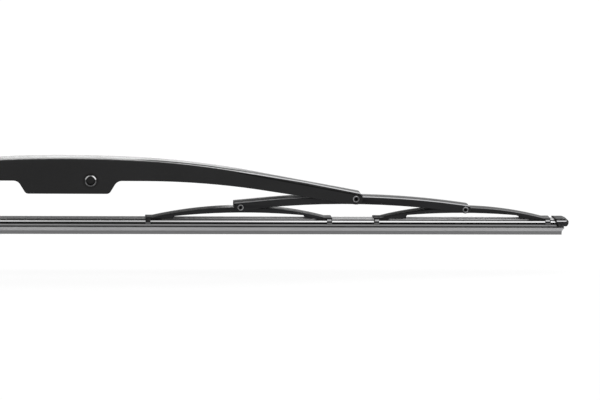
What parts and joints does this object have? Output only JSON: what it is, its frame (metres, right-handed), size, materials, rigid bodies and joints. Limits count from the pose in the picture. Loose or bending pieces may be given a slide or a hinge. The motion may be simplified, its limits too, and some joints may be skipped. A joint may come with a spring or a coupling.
{
  "type": "wiper blade",
  "caption": "Bracket wiper blade for a large windscreen: folded steel bridge, rocking levers and claws that hold a rubber squeegee stiffened by steel strips.",
  "frame": {"origin": "on the axis of the arm pin, in the blade's middle plane; the pin sits 14.5 mm to the +X side of the blade's middle and 36.6 mm over the wiping edge", "axes": "+X along the blade, +Y across it along the pivots' axes, +Z away from the glass"},
  "size_m": [0.65, 0.0148, 0.0506],
  "materials": {
    "black_paint": "semi-gloss black powder coat over folded steel sheet",
    "zinc_steel": "zinc-plated steel, rolled at one end",
    "bright_steel": "bright stainless spring steel strip",
    "squeegee_rubber": "graphite-grey extruded rubber, matt",
    "bush_nylon": "dark nylon, running face smooth",
    "cap_plastic": "black moulded plastic, slightly grained"
  },
  "bodies": {
    "bridge": {"main_bridge": "black_paint", "arm_pin": "zinc_steel", "main_rivet_left": "zinc_steel", "main_rivet_right": "zinc_steel", "front_strip": "bright_steel", "rear_strip": "bright_steel", "squeegee_rubber": "squeegee_rubber"},
    "lever_left": {"secondary_lever_left": "black_paint", "main_bush_left": "bush_nylon", "inner_rivet_left": "zinc_steel", "outer_rivet_left": "zinc_steel"},
    "inner_yoke_body_left": {"inner_yoke_left": "black_paint", "inner_bush_left": "bush_nylon"},
    "outer_yoke_body_left": {"outer_yoke_left": "black_paint", "outer_bush_left": "bush_nylon", "end_cap_left": "cap_plastic"},
    "lever_right": {"secondary_lever_right": "black_paint", "main_bush_right": "bush_nylon", "inner_rivet_right": "zinc_steel", "outer_rivet_right": "zinc_steel"},
    "inner_yoke_body_right": {"inner_yoke_right": "black_paint", "inner_bush_right": "bush_nylon"},
    "outer_yoke_body_right": {"outer_yoke_right": "black_paint", "outer_bush_right": "bush_nylon", "end_cap_right": "cap_plastic"}
  },
  "joints": [
    {"name": "lever_pivot_left", "type": "hinge", "parent": "bridge", "child": "lever_left", "pos_m": [-0.199, 0, -0.01155], "axis": [0, 1, 0], "range_deg": [-5, 5], "stiffness_Nm_per_rad": 1.2, "deforming": ["squeegee_rubber", "front_strip", "rear_strip"]},
    {"name": "inner_pivot_left", "type": "hinge", "parent": "lever_left", "child": "inner_yoke_body_left", "pos_m": [-0.1249, 0, -0.0176], "axis": [0, 1, 0], "range_deg": [-5, 5], "stiffness_Nm_per_rad": 0.6, "deforming": ["squeegee_rubber", "front_strip", "rear_strip"]},
    {"name": "outer_pivot_left", "type": "hinge", "parent": "lever_left", "child": "outer_yoke_body_left", "pos_m": [-0.2707, 0, -0.01875], "axis": [0, 1, 0], "range_deg": [-5, 5], "stiffness_Nm_per_rad": 0.6, "deforming": ["squeegee_rubber", "front_strip", "rear_strip"]},
    {"name": "lever_pivot_right", "type": "hinge", "parent": "bridge", "child": "lever_right", "pos_m": [0.17, 0, -0.01155], "axis": [0, 1, 0], "range_deg": [-5, 5], "stiffness_Nm_per_rad": 1.2, "deforming": ["squeegee_rubber", "front_strip", "rear_strip"]},
    {"name": "inner_pivot_right", "type": "hinge", "parent": "lever_right", "child": "inner_yoke_body_right", "pos_m": [0.0959, 0, -0.0176], "axis": [0, 1, 0], "range_deg": [-5, 5], "stiffness_Nm_per_rad": 0.6, "deforming": ["squeegee_rubber", "front_strip", "rear_strip"]},
    {"name": "outer_pivot_right", "type": "hinge", "parent": "lever_right", "child": "outer_yoke_body_right", "pos_m": [0.2417, 0, -0.01875], "axis": [0, 1, 0], "range_deg": [-5, 5], "stiffness_Nm_per_rad": 0.6, "deforming": ["squeegee_rubber", "front_strip", "rear_strip"]}
  ]
}
